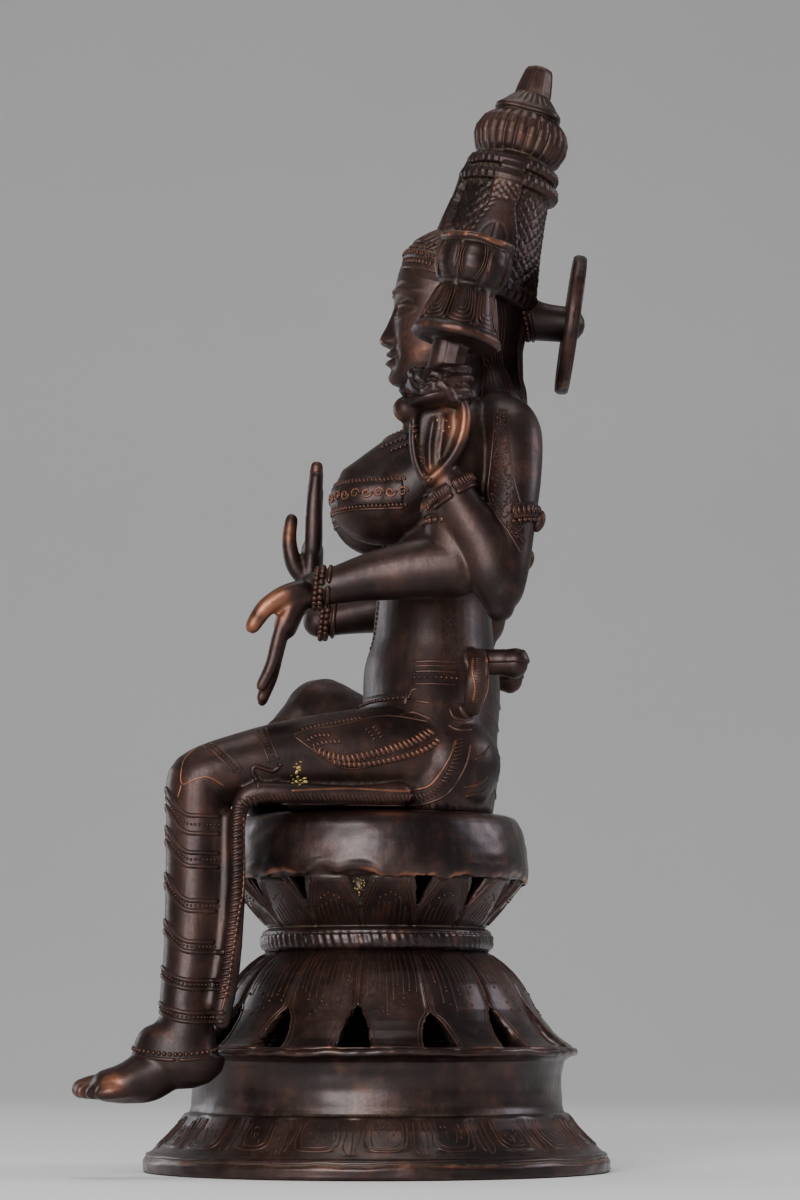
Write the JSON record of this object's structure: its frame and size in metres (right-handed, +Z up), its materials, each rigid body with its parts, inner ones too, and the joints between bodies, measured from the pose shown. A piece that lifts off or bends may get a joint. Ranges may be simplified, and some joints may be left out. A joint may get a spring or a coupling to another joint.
{
  "type": "lakshmi statue",
  "caption": "Dark patinated brass four-armed goddess with tall crown, one leg hanging, seated on a pierced double-lotus pedestal.",
  "frame": {"origin": "centre of the footprint of the whole work, on the ground", "axes": "+Z up, -Y the way the goddess faces, +X her left side with the hanging leg"},
  "size_m": [0.1648, 0.185, 0.4],
  "materials": {
    "figure_brass": "dark brown patina, satin with rubbed coppery edges",
    "pedestal_brass": "dark brown patina, satin with rubbed coppery edges"
  },
  "bodies": {
    "root": {"figure": "figure_brass", "lotus_pedestal": "pedestal_brass"}
  },
  "joints": []
}
